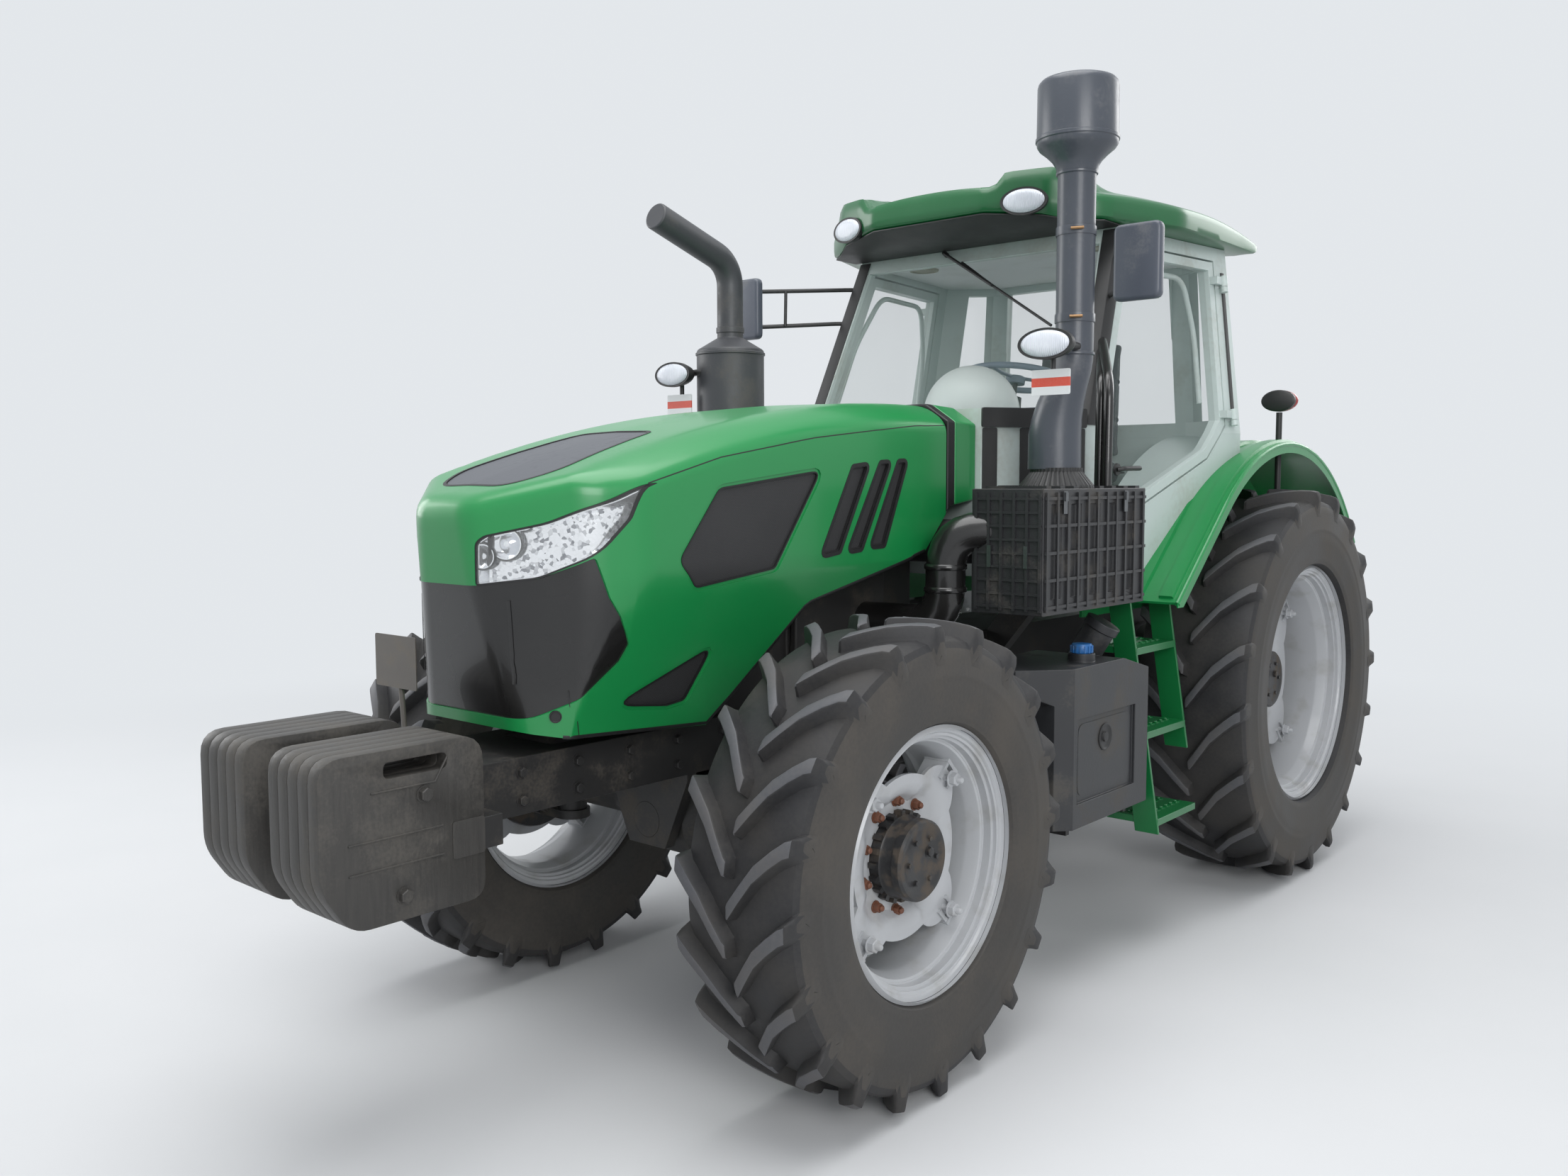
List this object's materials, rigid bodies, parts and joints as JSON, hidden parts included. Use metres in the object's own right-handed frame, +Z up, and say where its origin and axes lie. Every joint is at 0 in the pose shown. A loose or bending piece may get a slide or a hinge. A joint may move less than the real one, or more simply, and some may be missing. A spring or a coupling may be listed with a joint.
{
  "type": "farm tractor",
  "caption": "Four-wheel-drive farm tractor with long sloping hood, front ballast, glazed cab, upright intake stack and exhaust, access steps and rear linkage",
  "frame": {"origin": "on the ground, midway along and across the tractor's box", "axes": "+Z up, nose towards -Y, tractor's left +X"},
  "size_m": [2.03, 5.2699, 3],
  "materials": {
    "tyre_rubber": "matt, dusty",
    "rim_paint": "satin silver-grey",
    "hub_paint": "satin black",
    "casting_paint": "satin dark grey over castings",
    "ballast_paint": "matt grey-brown over cast iron",
    "linkage_steel": "satin black",
    "rod_steel": "ground",
    "cylinder_paint": "satin black",
    "hood_green": "gloss green",
    "step_green": "satin green",
    "roof_green": "gloss dark green",
    "cab_paint": "satin pale grey-green",
    "glass_tint": "clear, faint green",
    "lamp_lens": "clear lens",
    "mesh_black": "black mesh and moulding",
    "seal_rubber": "matt",
    "tank_plastic": "matt dark grey",
    "stack_paint": "satin blue-grey",
    "muffler_paint": "heat-dulled steel",
    "lamp_housing": "black",
    "headliner_trim": "light grey",
    "dash_plastic": "light grey",
    "seat_metal": "satin black",
    "seat_cloth": "black cloth"
  },
  "bodies": {
    "chassis": {"front_frame": "casting_paint", "ballast_weights": "ballast_paint", "engine_block": "casting_paint", "gearbox_housing": "casting_paint", "rear_axle": "casting_paint", "front_axle": "casting_paint", "front_drive_shaft": "linkage_steel", "steering_cylinder": "cylinder_paint", "rear_cowl": "hood_green", "hood_seal": "seal_rubber", "cab_tub": "cab_paint", "cab_frame": "cab_paint", "cab_glass": "glass_tint", "cab_roof": "roof_green", "headliner": "headliner_trim", "work_lamps": "lamp_housing", "fenders": "hood_green", "fuel_tanks": "tank_plastic", "steps": "step_green", "air_filter_box": "tank_plastic", "intake_stack": "stack_paint", "exhaust": "muffler_paint", "mirrors": "lamp_housing", "dashboard": "dash_plastic", "seat_base": "seat_metal", "seat_cushions": "seat_cloth", "drawbar": "casting_paint"},
    "knuckle_left": {"knuckle_left": "casting_paint"},
    "knuckle_right": {"knuckle_right": "casting_paint"},
    "wheel_front_left": {"tyre_front_left": "tyre_rubber", "rim_front_left": "rim_paint", "hub_front_left": "hub_paint"},
    "wheel_front_right": {"tyre_front_right": "tyre_rubber", "rim_front_right": "rim_paint", "hub_front_right": "hub_paint"},
    "wheel_rear_left": {"tyre_rear_left": "tyre_rubber", "rim_rear_left": "rim_paint", "hub_rear_left": "hub_paint"},
    "wheel_rear_right": {"tyre_rear_right": "tyre_rubber", "rim_rear_right": "rim_paint", "hub_rear_right": "hub_paint"},
    "track_rod": {"track_rod": "rod_steel"},
    "steering_wheel": {"steering_wheel": "lamp_housing"},
    "hood": {"hood_shell": "hood_green", "hood_vents": "mesh_black", "grille": "mesh_black", "headlamps": "lamp_lens", "hood_hinge_arms": "linkage_steel"},
    "door_left": {"door_left": "cab_paint", "door_glass_left": "glass_tint"},
    "door_right": {"door_right": "cab_paint", "door_glass_right": "glass_tint"},
    "lift_arms": {"lift_arms": "linkage_steel"},
    "lift_rods": {"lift_rods": "linkage_steel"},
    "lower_links": {"lower_links": "linkage_steel"},
    "top_link": {"top_link": "linkage_steel"}
  },
  "joints": [
    {"name": "steer_left", "type": "hinge", "parent": "chassis", "child": "knuckle_left", "pos_m": [0.585, -1.205, 0.6647], "axis": [0, 0, 1], "range_deg": [-32, 32]},
    {"name": "steer_right", "type": "hinge", "parent": "chassis", "child": "knuckle_right", "pos_m": [-0.585, -1.205, 0.6647], "axis": [0, 0, 1], "range_deg": [-32, 32]},
    {"name": "track_rod_slide", "type": "slide", "parent": "chassis", "child": "track_rod", "axis": [1, 0, 0], "range_m": [-0.125, 0.125]},
    {"name": "steering_wheel_turn", "type": "hinge", "parent": "chassis", "child": "steering_wheel", "pos_m": [0, 0.765, 2.145], "axis": [0, 0.2011, 0.9796], "range_deg": [-322, 322]},
    {"name": "wheel_front_left_spin", "type": "hinge", "parent": "knuckle_left", "child": "wheel_front_left", "pos_m": [0.78, -1.205, 0.6647], "axis": [1, 0, 0], "continuous": true},
    {"name": "wheel_front_right_spin", "type": "hinge", "parent": "knuckle_right", "child": "wheel_front_right", "pos_m": [-0.78, -1.205, 0.6647], "axis": [1, 0, 0], "continuous": true},
    {"name": "wheel_rear_left_spin", "type": "hinge", "parent": "chassis", "child": "wheel_rear_left", "pos_m": [0.785, 1.575, 0.83476], "axis": [1, 0, 0], "continuous": true},
    {"name": "wheel_rear_right_spin", "type": "hinge", "parent": "chassis", "child": "wheel_rear_right", "pos_m": [-0.785, 1.575, 0.83476], "axis": [1, 0, 0], "continuous": true},
    {"name": "door_left_swing", "type": "hinge", "parent": "chassis", "child": "door_left", "pos_m": [0.80317, 1.13367, 1.975], "axis": [-0.1255, 0.0587, 0.9904], "range_deg": [0, 75]},
    {"name": "door_right_swing", "type": "hinge", "parent": "chassis", "child": "door_right", "pos_m": [-0.80317, 1.13367, 1.975], "axis": [-0.1255, -0.0587, -0.9904], "range_deg": [0, 75]},
    {"name": "hood_lift", "type": "hinge", "parent": "chassis", "child": "hood", "pos_m": [0, -0.232, 1.933], "axis": [-1, 0, 0], "range_deg": [0, 50]},
    {"name": "lift_arms_swing", "type": "hinge", "parent": "chassis", "child": "lift_arms", "pos_m": [0, 1.725, 1.18], "axis": [1, 0, 0], "range_deg": [-20, 30]},
    {"name": "lower_links_swing", "type": "hinge", "parent": "chassis", "child": "lower_links", "pos_m": [0, 1.685, 0.6], "axis": [1, 0, 0], "range_deg": [-20, 30]},
    {"name": "lift_rods_swing", "type": "hinge", "parent": "lift_arms", "child": "lift_rods", "pos_m": [0, 2.105, 1.15], "axis": [1, 0, 0], "range_deg": [-30, 20]},
    {"name": "top_link_swing", "type": "hinge", "parent": "chassis", "child": "top_link", "pos_m": [0, 1.915, 0.985], "axis": [1, 0, 0], "range_deg": [-30, 60]}
  ],
  "couplings": [
    {"joint": "steer_right", "follows": "steer_left", "ratio": 1},
    {"joint": "track_rod_slide", "follows": "steer_left", "m_per_rad": -0.22297},
    {"joint": "steering_wheel_turn", "follows": "steer_left", "ratio": 10},
    {"joint": "lower_links_swing", "follows": "lift_arms_swing", "ratio": 1},
    {"joint": "lift_rods_swing", "follows": "lift_arms_swing", "ratio": -1}
  ]
}
